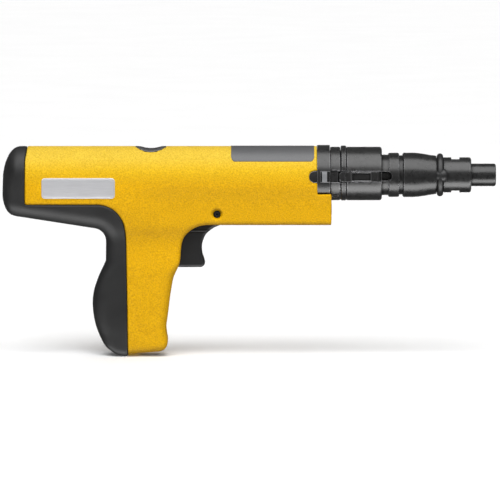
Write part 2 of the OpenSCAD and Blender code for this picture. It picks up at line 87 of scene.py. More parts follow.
HOUSING_LOW, HOUSING_HIGH = span("housing")
ARCH_R = HOUSING_HIGH[2]
REAR_X = span("grip_cover")[0][0]
CHIN_X = HOUSING_HIGH[0]
CHIN_LENGTH = 9.7
MOUTH_X = CHIN_X - CHIN_LENGTH
STEP_Z = span("front_collar")[0][2]
BELLY_Z = -33.6
CHAMBER_X = middle("strip_guide")[0]
GUIDE_LOW, GUIDE_HIGH = span("strip_guide")
TUNNEL_R = span("rear_plug")[1][2]
TUNNEL_END_X = span("rear_plug")[0][0]
PIVOT_X, _, PIVOT_Z = joint_place("trigger_pull")
LEVER_X, _, LEVER_Z = joint_place("lever_swing")
SEAR_X = middle("sear_spring")[0]
ROD_Z = middle("guide_rod")[2]
BAR_LOW, BAR_HIGH = span("trigger_bar")
BAR_GAP = 0.3
BAR_NOSE_HALF = 4.6
# the trough in the chin, under the receiver's sleeve
TROUGH_R = 18.8
TROUGH_Z = 0.93
# the hole for the port ring, and the lowest point that it is cut to
PORT_R = 10.6
PORT_FLOOR_Z = 10
# the trigger pin's hole, with a recess round each of its ends
PIN_HOLE_R = (span("trigger_pin")[1] - span("trigger_pin")[0])[0] / 2
PIN_RECESS_R = 3.6
PIN_RECESS_Y = 15.7
# notches for the two round tabs of the front collar
TAB_X = -124.7
TAB_R = 4.1
TAB_FLOOR_Y = 15


# ---------------------------------------------------------------- curves and fields

def smoothstep(start, end, value):
    t = np.clip((value - start) / (end - start), 0, 1)
    return t * t * (3 - 2 * t)


def mix(a, b, share):
    return a + (b - a) * share


def round_max(a, b, radius):
    """What two fields have in common, with the edge where they meet rounded."""
    outside = np.hypot(np.maximum(a + radius, 0), np.maximum(b + radius, 0))
    return np.minimum(-radius, np.maximum(a, b)) + outside


def arc(cx, cz, radius, start, end, steps=10):
    angles = np.radians(np.linspace(start, end, steps + 1))
    return [(cx + radius * math.cos(a), cz + radius * math.sin(a)) for a in angles]


def smooth_line(points, steps=6):
    """A curve that passes through the points without corners."""
    p = np.array(points, float)
    p = np.vstack([2 * p[0] - p[1], p, 2 * p[-1] - p[-2]])
    curve = []
    for a, b, c, d in zip(p[:-3], p[1:-2], p[2:-1], p[3:]):
        for t in np.arange(steps) / steps:
            curve.append(0.5 * (2 * b + (c - a) * t + (2 * a - 5 * b + 4 * c - d) * t**2
                                + (3 * b - a - 3 * c + d) * t**3))
    curve.append(p[-2])
    return [tuple(q) for q in curve]


def profile(knots):
    """A smooth function of height from (height, value) knots that run downwards."""
    line = np.array(smooth_line(knots, 12))
    order = np.argsort(line[:, 0])
    return lambda z: np.interp(z, line[order, 0], line[order, 1])


# x and z ranges that the tables of signed distances cover
BODY_WINDOW = ((-344, -128), (-108, 24))
CAP_WINDOW = ((-344, -2), (-108, 24))
ROOM_WINDOW = ((-236, -72), (-178, -12))
TRIGGER_WINDOW = ((-224, -67), (-183, -17))


class Region:
    """Signed distance to a closed outline, negative inside, kept as a table over a window."""

    def __init__(self, outline, window, step=0.35):
        ring = np.array(outline, float)
        (x0, z0), (x1, z1) = window
        self.origin = np.array([x0, z0])
        self.step = step
        x, z = np.meshgrid(np.arange(x0, x1, step), np.arange(z0, z1, step), indexing="ij")
        nearest = np.full(x.shape, np.inf)
        inside = np.zeros(x.shape, bool)
        for (ax, az), (bx, bz) in zip(ring, np.roll(ring, -1, axis=0)):
            ex, ez = bx - ax, bz - az
            along = np.clip(((x - ax) * ex + (z - az) * ez) / (ex * ex + ez * ez + 1e-12), 0, 1)
            gap = (x - ax - along * ex) ** 2 + (z - az - along * ez) ** 2
            nearest = np.minimum(nearest, gap)
            if az != bz:
                straddles = (az > z) != (bz > z)
                inside ^= straddles & (x < ax + (z - az) * ex / ez)
        self.table = np.where(inside, -1, 1) * np.sqrt(nearest)

    def __call__(self, x, z):
        u = (x - self.origin[0]) / self.step
        v = (z - self.origin[1]) / self.step
        i = np.clip(u.astype(int), 0, self.table.shape[0] - 2)
        j = np.clip(v.astype(int), 0, self.table.shape[1] - 2)
        u = np.clip(u - i, 0, 1)
        v = np.clip(v - j, 0, 1)
        t = self.table
        return mix(mix(t[i, j], t[i + 1, j], u), mix(t[i, j + 1], t[i + 1, j + 1], u), v)


def block(x, y, z, x0, x1, half, z0, z1):
    """A box centred on the plane y = 0."""
    return np.maximum.reduce([x0 - x, x - x1, np.abs(y) - half, z0 - z, z - z1])


def bore_x(x, y, z, x0, x1, radius, z_axis=0.0):
    return np.maximum.reduce([np.hypot(y, z - z_axis) - radius, x0 - x, x - x1])


def bore_y(x, z, x_axis, z_axis, radius):
    return np.hypot(x - x_axis, z - z_axis) - radius


# ---------------------------------------------------------------- from a field to a mesh

CORNERS = np.array([(i, j, k) for i in (0, 1) for j in (0, 1) for k in (0, 1)])
CELL_EDGES = [
    (a, b) for a in range(8) for b in range(a + 1, 8)
    if np.abs(CORNERS[a] - CORNERS[b]).sum() == 1
]


def cell_points(values, cells):
    """For each cell that the surface passes through, the mean of where it cuts the cell's edges."""
    corner = np.stack([values[tuple((cells + c).T)] for c in CORNERS], axis=1)
    total = np.zeros((len(cells), 3))
    count = np.zeros((len(cells), 1))
    for a, b in CELL_EDGES:
        cut = (corner[:, a] < 0) != (corner[:, b] < 0)
        share = corner[cut, a] / (corner[cut, a] - corner[cut, b])
        total[cut] += CORNERS[a] + share[:, None] * (CORNERS[b] - CORNERS[a])
        count[cut] += 1
    return cells + total / count


def surface_net(values):
    """Points, in grid steps, and quads of the surface where the sampled field is zero."""
    inside = values < 0
    sizes = [n - 1 for n in values.shape]
    total = sum(inside[i:i + sizes[0], j:j + sizes[1], k:k + sizes[2]].astype(np.int8)
                for i, j, k in CORNERS)
    cells = np.argwhere((total > 0) & (total < 8))
    number = np.full(total.shape, -1, np.int32)
    number[tuple(cells.T)] = np.arange(len(cells))
    quads = []
    for axis in range(3):
        before = np.take(inside, range(values.shape[axis] - 1), axis)
        after = np.take(inside, range(1, values.shape[axis]), axis)
        u = np.eye(3, dtype=int)[(axis + 1) % 3]
        v = np.eye(3, dtype=int)[(axis + 2) % 3]
        at = np.argwhere(before != after)
        leaving = before[tuple(at.T)]
        ring = np.stack([number[tuple((at - s).T)] for s in (0 * u, u, u + v, v)], axis=1)
        ring[~leaving] = ring[~leaving, ::-1]
        quads.append(ring)
    return cell_points(values, cells), np.concatenate(quads)


def slopes(field, points, reach=0.04):
    out = np.empty_like(points)
    for axis in range(3):
        shift = np.eye(3)[axis] * reach
        out[:, axis] = (field(*(points + shift).T) - field(*(points - shift).T)) / (2 * reach)
    return out


def settle(field, points, limit, rounds=3):
    """Moves the points onto the field's surface."""
    for _ in range(rounds):
        slope = slopes(field, points)
        steep = np.maximum((slope**2).sum(axis=1), 0.2)
        move = np.clip(field(*points.T) / steep, -limit, limit)
        points = points - move[:, None] * slope
    return points


def sampled(field, low, high, step):
    """Field values on a grid that is symmetric about y = 0, of which only half is worked out."""
    half = np.arange(0, high[1] + step, step)
    x = np.arange(low[0], high[0] + step, step)
    z = np.arange(low[2], high[2] + step, step)
    values = np.empty((len(x), len(half), len(z)), np.float32)
    for start in range(0, len(x), 64):
        part = slice(start, start + 64)
        values[part] = field(*np.meshgrid(x[part], half, z, indexing="ij"))
    whole = np.concatenate([values[:, :0:-1], values], axis=1)
    return whole, np.array([x[0], -half[-1], z[0]])


def moulded(name, field, low, high, step, body, *stands_for):
    """A piece with the shape of a field that is the same on both sides of y = 0."""
    margin = 2 * step
    values, origin = sampled(field, np.array(low) - margin, np.array(high) + margin, step)
    points, quads = surface_net(values)
    points = settle(field, origin + points * step, 0.6 * step)
    return piece(name, points, quads.tolist(), body, *stands_for)


def piece(name, points, faces, body, *stands_for):
    """A mesh object from points in millimetres, which rides on a body."""
    mesh = bpy.data.meshes.new(name)
    mesh.from_pydata((np.array(points) * MM).tolist(), [], faces)
    mesh.validate()
    mesh.shade_smooth()
    made = bpy.data.objects.new(name, mesh)
    bpy.context.scene.collection.objects.link(made)
    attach(made, body)
    if stands_for:
        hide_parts(*stands_for)
    return made


# ---------------------------------------------------------------- outer form of the body

NECK = arc(-277.5, -45.2, 9, 81, 0)
PALM = smooth_line([
    (-268.6, -58.5), (-270.1, -62.4), (-272.8, -67.9), (-275, -73.4), (-276.9, -79.5),
    (-277.8, -87.2), (-277.2, -95.5), (-275.5, -103.8), (-272.2, -112), (-268.9, -117.3),
    (-265.8, -120.2), (-261.5, -123), (-256, -124.2)
])
TOE = smooth_line([(-232, -121.2), (-229.2, -120.3), (-227, -118.2), (-226, -114.8), (-226.8, -109)])
HANDLE_FRONT = smooth_line([
    (-227.2, -105), (-225.8, -95.2), (-224.4, -84.1), (-223.1, -75.9), (-222, -70.3),
    (-219.8, -65), (-218.2, -61.5), (-217.3, -57.5), (-216.9, -52), (-216.2, -46.5),
    (-214.8, -42.6), (-212.6, -39.6), (-210, -37.3), (-207.2, -35.6), (-203.8, -34.3),
    (-199.5, BELLY_Z)
])
# everything above the underside, the handle included; the rear end is cut off separately
UNDERSIDE = Region(
    [(-420, 80), (-420, -13.7), (-330.5, -27.8)] + NECK + PALM + [(-252.6, -124), (-251.8, -122.7)]
    + TOE + HANDLE_FRONT + [(-40, BELLY_Z), (-40, 80)],
    BODY_WINDOW
)


def end_cap(points):
    """The rear end's profile, as x against distance from the middle."""
    curve = smooth_line(points)
    mirrored = [(x, -q) for x, q in reversed(curve)]
    return Region([(-60, ARCH_R)] + curve + mirrored + [(-60, -ARCH_R)], CAP_WINDOW)


UPPER_CAP = end_cap([
    (-324, ARCH_R), (-327.5, 19.8), (-330.4, 19.1), (-332.8, 17.4), (-334.9, 14.9),
    (-336.9, 11), (-338.3, 6.8), (-339.2, 2.5), (-339.5, 0)
])
LOWER_CAP = end_cap([
    (-327, ARCH_R), (-330.5, 19.85), (-333.8, 19.2), (-336.6, 16.9), (-338.5, 12.9),
    (-339.6, 7.7), (-339.93, 2), (REAR_X + 0.05, 0)
])

# half width of the side walls against height
REAR_WIDTH = profile([
    (30, 19.9), (0, 19.9), (-6, 19.75), (-12, 19.65), (-24, 19.5), (-34, 18.6), (-42, 16.8),
    (-48, 16.2), (-56, 16.3), (-64, 16.6), (-80, 16.7), (-110, 16.6), (-130, 15.5)
])
FRONT_WIDTH = profile([
    (30, 19.9), (0, 19.9), (-3, 19.82), (-7, 19.42), (-11, 18.65), (-15, 17.9), (-19, 17.45),
    (-24, 17.22), (-33, 17.1), (-37, 16.6), (-42, 15.4), (-47, 15.0), (-52, 15.2), (-58, 15.9),
    (-64, 16.35), (-80, 16.5), (-112, 16.4), (-130, 15.4)
])


# distance from the middle beyond which the rear end's profile isn't looked up
FAR = 60


def edge_radius(x, z):
    """How round the body is where its side walls meet the underside, back and front."""
    front = mix(3.0, 6.5, smoothstep(-58, -72, z))
    radius = mix(10.5, front, smoothstep(-262, -240, x))
    return mix(radius, 4.5, smoothstep(-108, -121, z))


def body_form(x, y, z):
    rear_share = 1 - smoothstep(-258, -222, x)
    width = mix(FRONT_WIDTH(z), REAR_WIDTH(z), rear_share)
    from_axis = np.where(z > 0, np.hypot(y, z), np.abs(y) + ARCH_R - width)
    prism = round_max(from_axis - ARCH_R, UNDERSIDE(x, z), edge_radius(x, z))
    # 0 on the middle line and ARCH_R on the walls, so that the rear end curves in from all sides
    from_middle = np.clip(prism + ARCH_R, 0, FAR)
    rear_end = mix(UPPER_CAP(x, from_middle), LOWER_CAP(x, from_middle), smoothstep(4, -14, z))
    return rear_end + np.maximum(prism + ARCH_R - FAR, 0)


# ---------------------------------------------------------------- housing and soft cover

SEAM_CORNER = arc(-322.5, -17.8, 1.5, 180, 270, 6)
SEAM_BEND = smooth_line([
    (-276, -19.3), (-272.5, -19.4), (-267.3, -20.6), (-262.4, -23.4), (-258.6, -27.6),
    (-256.2, -32.5), (-254.9, -39), (-254.4, -47)
])
SOFT_SIDE = Region(
    [(-360, 50), (-322.4, 50), (-322.6, 19), (-323.8, 11)] + SEAM_CORNER + SEAM_BEND
    + [(-253.6, -100), (-253.0, -150), (-360, -150)],
    BODY_WINDOW
)
# half of the groove between shell and cover, the cover's thickness, and its gap to the core under it
SEAM_GAP = 0.12
SKIN = 3.5
SKIN_GAP = 0.15
TRIGGER_ROOM_HALF = 7.4
# ends of the rooms that open into the tunnel or at the front
INTO_TUNNEL_Z = -15
OPEN_FRONT_X = -100
# the mesh fills the corners of a room a little, so the bar's and the sear's are wider by this all round
ROOM_EASE = 0.4

TRIGGER_ROOM = Region([
    (-185.4, -19.4), (-202.2, -19.4), (-202.2, -28.4), (-208, -29.4), (-229.3, BAR_LOW[2] - BAR_GAP),
    (-229.3, -64.2), (-205, -66), (-184, -50), (-184, -36), (-185.4, -34)
], ROOM_WINDOW)


def rooms(x, y, z):
    """The hidden spaces for the moving pieces."""
    low_z, high_z = BAR_LOW[2] - BAR_GAP, BAR_HIGH[2] + BAR_GAP
    bar_room = block(x, y, z, -269.2, -199.7, 6.4, low_z, high_z)
    # the bar passes the strip guide on both sides
    bar_fork_room = block(x, y, z, -252.2, -224.4, 10.4, low_z, high_z)
    sear_room = block(x, y, z, SEAR_X - 2.4, -255.3, 3.4, -41.8, INTO_TUNNEL_Z)
    sear_spring_well = np.maximum(np.hypot(x - SEAR_X, y) - 2.7, np.maximum(-52.2 - z, z + 40))
    strip_channel = block(x, y, z, GUIDE_LOW[0], GUIDE_HIGH[0], GUIDE_HIGH[1], -130, INTO_TUNNEL_Z)
    return_spring_bore = bore_x(x, y, z, -183, OPEN_FRONT_X, 6.5, ROD_Z)
    lug_slot = block(x, y, z, -131.7, OPEN_FRONT_X, 4.4, ROD_Z, INTO_TUNNEL_Z)
    lever_room = block(x, y, z, -229.4, -208.8, 3.4, BAR_HIGH[2], INTO_TUNNEL_Z)
    lever_pin_hole = np.maximum(bore_y(x, z, LEVER_X, LEVER_Z, 1.5), np.abs(y) - 9)
    return np.minimum.reduce([
        np.minimum.reduce([bar_room, bar_fork_room, sear_room]) - ROOM_EASE,
        sear_spring_well, strip_channel, return_spring_bore, lug_slot, lever_room, lever_pin_hole,
    ])


def housing_field(x, y, z):
    form = body_form(x, y, z)
    soft = SOFT_SIDE(x, z)
    shell = round_max(form, SEAM_GAP - soft, 0.5)
    core = np.maximum(form + SKIN + SKIN_GAP, soft)
    front = np.maximum(x - CHIN_X, np.minimum(x - MOUTH_X, z - STEP_Z))
    solid = round_max(np.minimum(shell, core), front, 0.6)
    tunnel = bore_x(x, y, z, TUNNEL_END_X, MOUTH_X + 2, TUNNEL_R)
    trough = bore_x(x, y, z, MOUTH_X - 0.3, CHIN_X + 9, TROUGH_R, TROUGH_Z)
    port = np.maximum(np.hypot(x - CHAMBER_X, y) - PORT_R, PORT_FLOOR_Z - z)
    pin_hole = bore_y(x, z, PIVOT_X, PIVOT_Z, PIN_HOLE_R)
    pin_recess = np.maximum(bore_y(x, z, PIVOT_X, PIVOT_Z, PIN_RECESS_R), PIN_RECESS_Y - np.abs(y))
    tab_outline = np.minimum(bore_y(x, z, TAB_X, 0, TAB_R), np.maximum(TAB_X - x, np.abs(z) - TAB_R))
    tab_notch = np.maximum(tab_outline, TAB_FLOOR_Y - np.abs(y))
    trigger_room = np.maximum(TRIGGER_ROOM(x, z), np.abs(y) - TRIGGER_ROOM_HALF)
    solid = round_max(solid, -port, 0.5)
    solid = round_max(solid, -trigger_room, 0.5)
    solid = round_max(solid, -pin_recess, 0.35)
    cut = np.minimum.reduce([tunnel, trough, pin_hole, tab_notch, rooms(x, y, z)])
    return np.maximum(solid, -cut)


def grip_field(x, y, z):
    form = body_form(x, y, z)
    outside = round_max(form, SOFT_SIDE(x, z) + SEAM_GAP, 0.7)
    return np.maximum(outside, -(form + SKIN))


# grid step of the two large pieces: fine enough for the seam, and under 200,000 faces each
BODY_STEP = 1.04


def make_housing():
    low = (REAR_X, 0, HOUSING_LOW[2])
    high = (CHIN_X, ARCH_R, ARCH_R)
    return moulded("housing_shell", housing_field, low, high, BODY_STEP, "housing", "housing")


def make_grip():
    low, high = span("grip_cover")
    return moulded("soft_cover", grip_field, low, high, BODY_STEP, "housing", "grip_cover")


# ---------------------------------------------------------------- trigger

TRIGGER_TABLE_STEP = 0.2
TRIGGER_SIDE = Region(
    arc(PIVOT_X, PIVOT_Z, 6, 10, 165)
    + [(-199.2, -27), (-201, -32.6), (-204, -33), (-208, -34.5), (-212, -37.2), (-214.6, -40)]
    + smooth_line([(-217, -40.5), (-218.6, -41.3), (-219.5, -42.8), (-220.2, -48), (-220.3, -52)])
    + arc(-218.8, -61.9, 1.5, 180, 270, 5) + arc(-203.6, -60.1, 3.3, -90, 10)
    + smooth_line([
        (-200.9, -57.8), (-202.1, -54.3), (-202.5, -50), (-202.1, -46.6), (-200.5, -42),
        (-198.5, -39.4), (-195.9, -37.3), (-192.8, -35.5), (-188.9, -33.9), (-187.2, -32.4),
        (-186.9, -30.5)
    ]),
    TRIGGER_WINDOW, TRIGGER_TABLE_STEP
)
# in this region only two cheeks are left, one on each side of the trigger bar
CHEEK_REGION = Region(
    [(-225, -10), (-199.2, -10), (-199.2, -36.1), (-206, -37.9), (-218, -40.7), (-225, -42)],
    TRIGGER_WINDOW, TRIGGER_TABLE_STEP
)
CHEEK_INNER = BAR_NOSE_HALF + 0.4
TRIGGER_HALF = 6.9
TRIGGER_ROUND = 2.2
# the sides step in above this height, with a groove just under it
STEP_LINE = -37.6
STEP_DEPTH = 0.5
GROOVE_DEPTH = 0.45


def trigger_field(x, y, z):
    step = STEP_DEPTH * smoothstep(STEP_LINE - 0.25, STEP_LINE + 0.1, z)
    groove = GROOVE_DEPTH * np.exp(-((z - STEP_LINE + 1.2) / 0.35) ** 2)
    sides = np.abs(y) - TRIGGER_HALF + step + groove
    solid = round_max(TRIGGER_SIDE(x, z), sides, TRIGGER_ROUND)
    bar_room = np.maximum(CHEEK_REGION(x, z), np.abs(y) - CHEEK_INNER)
    spring_pocket = np.maximum(bore_y(x, z, PIVOT_X, PIVOT_Z, 5.1), 3.7 - np.abs(y))
    hole = np.minimum(bore_y(x, z, PIVOT_X, PIVOT_Z, 2.55), spring_pocket)
    return np.maximum(round_max(solid, -bar_room, 0.3), -hole)


def make_trigger():
    low, high = span("trigger")
    return moulded("trigger_piece", trigger_field, low, high, 0.35, "trigger", "trigger")


# ---------------------------------------------------------------- badges

def make_badge(name, side):
    """A blank raised plate with a rim, on one side of the housing."""
    low, high = span("badge")
    plate = bmesh.new()
    corner_r, steps = 2.4, 6
    x0, x1, z0, z1 = low[0], high[0], low[2], high[2]
    outline = (
        arc(x0 + corner_r, z1 - corner_r, corner_r, 180, 90, steps)
        + arc(x1 - corner_r, z1 - corner_r, corner_r, 90, 0, steps)
        + arc(x1 - corner_r, z0 + corner_r, corner_r, 0, -90, steps)
        + arc(x0 + corner_r, z0 + corner_r, corner_r, -90, -180, steps)
    )
    centre_x, centre_z = (x0 + x1) / 2, (z0 + z1) / 2
    # inset from the edge and distance from the tool's middle, from the foot over the rim to the face
    levels = [
        (0, 19.3), (0, 20.1), (0.12, 20.28), (0.35, 20.36), (0.9, 20.36), (1.15, 20.2), (1.5, 20.14)
    ]
    rings = []
    for inset, depth in levels:
        scale_x = 1 - inset / (x1 - centre_x)
        scale_z = 1 - inset / (z1 - centre_z)
        ring = []
        for x, z in outline:
            at_x = centre_x + (x - centre_x) * scale_x
            at_z = centre_z + (z - centre_z) * scale_z
            ring.append(plate.verts.new(Vector((at_x, side * depth, at_z)) * MM))
        rings.append(ring)
    for inner, outer in zip(rings[1:], rings[:-1]):
        for k in range(len(outline)):
            n = (k + 1) % len(outline)
            plate.faces.new((outer[k], outer[n], inner[n], inner[k]))
    plate.faces.new(rings[-1])
    plate.faces.new(rings[0])
    bmesh.ops.recalc_face_normals(plate, faces=plate.faces)
    mesh = bpy.data.meshes.new(name)
    plate.to_mesh(mesh)
    plate.free()
    mesh.shade_smooth()
    mesh.set_sharp_from_angle(angle=math.radians(50))
    made = bpy.data.objects.new(name, mesh)
    bpy.context.scene.collection.objects.link(made)
    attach(made, "housing")
    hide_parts("badge")
    return made


# ---------------------------------------------------------------- materials

class Finish:
    """A Principled material, with short calls that add textures in millimetres to it."""

    def __init__(self, name, roughness, metallic=0.0, specular=0.5):
        self.material = bpy.data.materials.new(name)
        self.material.use_nodes = True
        self.tree = self.material.node_tree
        self.shader = self.tree.nodes["Principled BSDF"]
        self.set(self.shader, {
            "Roughness": roughness, "Metallic": metallic, "Specular IOR Level": specular
        })
        self.place = self.tree.nodes.new("ShaderNodeTexCoord").outputs["Object"]
        self.normal = None

    def set(self, node, values):
        for socket, value in values.items():
            node.inputs[socket].default_value = value

    def join(self, source, target):
        self.tree.links.new(source, target)

    def scaled(self, per_mm):
        """Object coordinates, with texture cells per millimetre given for each axis."""
        mapping = self.tree.nodes.new("ShaderNodeMapping")
        mapping.inputs["Scale"].default_value = [s / MM for s in per_mm]
        self.join(self.place, mapping.inputs["Vector"])
        return mapping.outputs["Vector"]

    def noise(self, per_mm, detail=3, roughness=0.55):
        node = self.tree.nodes.new("ShaderNodeTexNoise")
        self.set(node, {"Scale": 1.0, "Detail": detail, "Roughness": roughness})
        self.join(self.scaled(per_mm), node.inputs["Vector"])
        return node.outputs["Fac"]

    def ramp(self, fac, stops):
        node = self.tree.nodes.new("ShaderNodeValToRGB")
        elements = node.color_ramp.elements
        while len(elements) < len(stops):
            elements.new(0.5)
        for element, (position, colour) in zip(elements, stops):
            element.position = position
            element.color = (*colour, 1)
        self.join(fac, node.inputs["Fac"])
        return node.outputs["Color"]

    def levels(self, fac, low, high, start=0.3, end=0.7):
        node = self.tree.nodes.new("ShaderNodeMapRange")
        self.set(node, {"From Min": start, "From Max": end, "To Min": low, "To Max": high})
        self.join(fac, node.inputs["Value"])
        return node.outputs["Result"]

    def blend(self, kind, share, a, b):
        node = self.tree.nodes.new("ShaderNodeMix")
        node.data_type = "RGBA"
        node.blend_type = kind
        # inputs 6 and 7 and output 2 are this node's colour sockets
        for value, socket in ((share, node.inputs[0]), (a, node.inputs[6]), (b, node.inputs[7])):
            if isinstance(value, bpy.types.NodeSocket):
                self.join(value, socket)
            else:
                socket.default_value = value
        return node.outputs[2]

    def bump(self, height, depth_mm, strength=1.0):
        node = self.tree.nodes.new("ShaderNodeBump")
        self.set(node, {"Strength": strength, "Distance": depth_mm * MM})
        self.join(height, node.inputs["Height"])
        if self.normal is not None:
            self.join(self.normal, node.inputs["Normal"])
        self.normal = node.outputs["Normal"]
        self.join(self.normal, self.shader.inputs["Normal"])

    def soft_edges(self, radius_mm):
        """Rounds the look of sharp edges."""
        node = self.tree.nodes.new("ShaderNodeBevel")
        node.samples = 6
        self.set(node, {"Radius": radius_mm * MM})
        self.normal = node.outputs["Normal"]
        self.join(self.normal, self.shader.inputs["Normal"])
        return self.normal

    def edge_wear(self, radius_mm):
        """1 on worn edges and 0 elsewhere: how far a wide rounding turns the surface."""
        bevel = self.tree.nodes.new("ShaderNodeBevel")
        bevel.samples = 6
        self.set(bevel, {"Radius": radius_mm * MM})
        geometry = self.tree.nodes.new("ShaderNodeNewGeometry")
        dot = self.tree.nodes.new("ShaderNodeVectorMath")
        dot.operation = "DOT_PRODUCT"
        self.join(bevel.outputs["Normal"], dot.inputs[0])
        self.join(geometry.outputs["Normal"], dot.inputs[1])
        return self.levels(dot.outputs["Value"], 1.0, 0.0, 0.86, 0.995)

    def height(self, low_mm, high_mm):
        """0 below one height and 1 above the other."""
        split = self.tree.nodes.new("ShaderNodeSeparateXYZ")
        self.join(self.place, split.inputs[0])
        return self.levels(split.outputs["Z"], 0.0, 1.0, low_mm * MM, high_mm * MM)

    def painted_crevice_shade(self, reach_mm, darkest):
        """Painted shade: 1 on open surfaces, falling to `darkest` in grooves and corners, where less light
        reaches.
        """
        node = self.tree.nodes.new("ShaderNodeAmbientOcclusion")
        node.samples = 6
        self.set(node, {"Distance": reach_mm * MM})
        return self.levels(node.outputs["AO"], darkest, 1.0, 0.4, 0.92)

    def use(self, socket, source):
        self.join(source, self.shader.inputs[socket])

    def follow(self, grain, dark, light, smooth, rough, depth_mm, strength):
        """Lets colour, roughness and bump all follow one grain."""
        self.use("Base Color", self.ramp(grain, [(0.3, dark), (0.7, light)]))
        self.use("Roughness", self.levels(grain, smooth, rough))
        self.bump(grain, depth_mm, strength)


def housing_yellow():
    """Moulded nylon with a spark-eroded grain."""
    finish = Finish("housing_yellow", 0.5, specular=0.1)
    grain = finish.noise((1.05, 1.05, 1.05), 4, 0.62)
    patches = finish.noise((0.06, 0.06, 0.06), 2)
    base = finish.ramp(grain, [
        (0.3, (0.666, 0.383, 0.022)), (0.5, (0.844, 0.513, 0.036)), (0.7, (0.999, 0.638, 0.06))
    ])
    tint = finish.ramp(patches, [(0.3, (0.95, 0.95, 0.95)), (0.7, (1, 1, 1))])
    aged = finish.blend("MULTIPLY", 1.0, base, tint)
    # painted sheen and painted light by height: paler and more lemon towards the top as if glossed by the overhead
    # light, strongest at the waist to lift its shade
    painted_sheen_by_height = finish.ramp(finish.height(-22, 13), [
        (0, (0.90, 0.79, 0.03)), (0.46, (1.0, 0.885, 0.03)), (0.74, (0.937, 0.93, 0.27)),
        (1, (0.86, 0.945, 1.0))
    ])
    finish.use("Base Color", finish.blend("MULTIPLY", 1.0, aged, painted_sheen_by_height))
    finish.use("Roughness", finish.levels(grain, 0.58, 0.42))
    finish.bump(grain, 0.75, 0.85)
    finish.bump(finish.noise((2.4, 2.4, 2.4), 2), 0.12, 0.85)
    return finish.material


def soft_grip():
    """Overmoulded elastomer, matt with a very fine grain."""
    finish = Finish("soft_grip", 0.55, specular=0.5)
    fine = finish.noise((2.4, 2.4, 2.4), 4)
    broad = finish.noise((0.05, 0.05, 0.05), 3)
    tone = finish.ramp(broad, [(0.3, (0.007, 0.007, 0.0073)), (0.7, (0.0115, 0.0115, 0.012))])
    speck = finish.ramp(fine, [(0.3, (0.8, 0.8, 0.8)), (0.7, (1, 1, 1))])
    finish.use("Base Color", finish.blend("MULTIPLY", 1.0, tone, speck))
    finish.use("Roughness", finish.levels(broad, 0.5, 0.6))
    finish.bump(fine, 0.05, 0.8)
    return finish.material


def black_plastic():
    finish = Finish("black_plastic", 0.45, specular=0.4)
    fine = finish.noise((2.2, 2.2, 2.2), 3)
    finish.follow(fine, (0.009, 0.009, 0.0095), (0.014, 0.014, 0.0145), 0.38, 0.5, 0.04, 0.7)
    return finish.material


def dark_metal(name, dark, light, worn, roughness):
    """Steel with a dark finish: fine rings round the barrel axis, paler on the edges, with painted shade in
    grooves and corners.
    """
    finish = Finish(name, roughness, metallic=0.8)
    finish.soft_edges(0.28)
    rings = finish.noise((7.0, 0.12, 0.12), 3)
    mottle = finish.noise((0.35, 0.35, 0.35), 4)
    base = finish.ramp(mottle, [(0.3, (dark,) * 3), (0.7, (light,) * 3)])
    # painted shade: the base colour is darkened in grooves and corners
    base_with_painted_shade = finish.blend("MULTIPLY", 1.0, base, finish.painted_crevice_shade(2.2, 0.12))
    edge = finish.edge_wear(0.45)
    finish.use("Base Color", finish.blend("MIX", edge, base_with_painted_shade, (worn, worn, worn * 1.03, 1)))
    finish.use("Roughness", finish.levels(mottle, roughness - 0.04, roughness + 0.05))
    finish.bump(rings, 0.006, 0.4)
    finish.bump(finish.noise((1.2, 1.2, 1.2), 3), 0.006, 0.5)
    return finish.material


def bright_steel():
    finish = Finish("bright_steel", 0.45, metallic=0.8)
    finish.soft_edges(0.15)
    rings = finish.noise((9.0, 0.15, 0.15), 3)
    finish.follow(rings, (0.34, 0.345, 0.36), (0.42, 0.425, 0.44), 0.38, 0.5, 0.01, 0.6)
    return finish.material


def badge_silver():
    """Satin plated plastic, brushed along the tool."""
    finish = Finish("badge_silver", 0.48, metallic=0.5)
    strokes = finish.noise((0.12, 3.0, 6.0), 4, 0.7)
    finish.follow(strokes, (0.50, 0.50, 0.515), (0.62, 0.62, 0.64), 0.42, 0.56, 0.01, 0.6)
    return finish.material


def label_film():
    finish = Finish("label_film", 0.4, specular=0.5)
    grain = finish.noise((1.4, 1.4, 1.4), 3)
    finish.follow(grain, (0.074, 0.075, 0.077), (0.094, 0.095, 0.098), 0.34, 0.46, 0.02, 0.5)
    return finish.material


def buffer_rubber():
    finish = Finish("buffer_rubber", 0.4, specular=0.5)
    fine = finish.noise((2.5, 2.5, 2.5), 3)
    finish.follow(fine, (0.010, 0.010, 0.0105), (0.017, 0.017, 0.0175), 0.34, 0.46, 0.03, 0.7)
    return finish.material


def all_finishes():
    return {
        "housing_yellow": housing_yellow(),
        "soft_grip": soft_grip(),
        "blackened_steel": dark_metal(
            "blackened_steel", dark=0.056, light=0.07, worn=0.42, roughness=0.3
        ),
        "dark_steel": dark_metal("dark_steel", dark=0.05, light=0.062, worn=0.34, roughness=0.29),
        "black_oxide": dark_metal("black_oxide", dark=0.02, light=0.028, worn=0.07, roughness=0.36),
        "satin_steel": dark_metal("satin_steel", dark=0.17, light=0.2, worn=0.42, roughness=0.34),
        "bright_steel": bright_steel(),
        "black_plastic": black_plastic(),
        "badge_silver": badge_silver(),
        "label_film": label_film(),
        "buffer_rubber": buffer_rubber(),
    }


def paint(thing, material):
    thing.data.materials.clear()
    thing.data.materials.append(material)


# ---------------------------------------------------------------- studio

# metres; what the lamps point at is the middle of the tool
FLOOR_R = 12.0
FLOOR_GAP = 0.0003
LAMP_TARGET = Vector((-0.17, 0, -0.03))


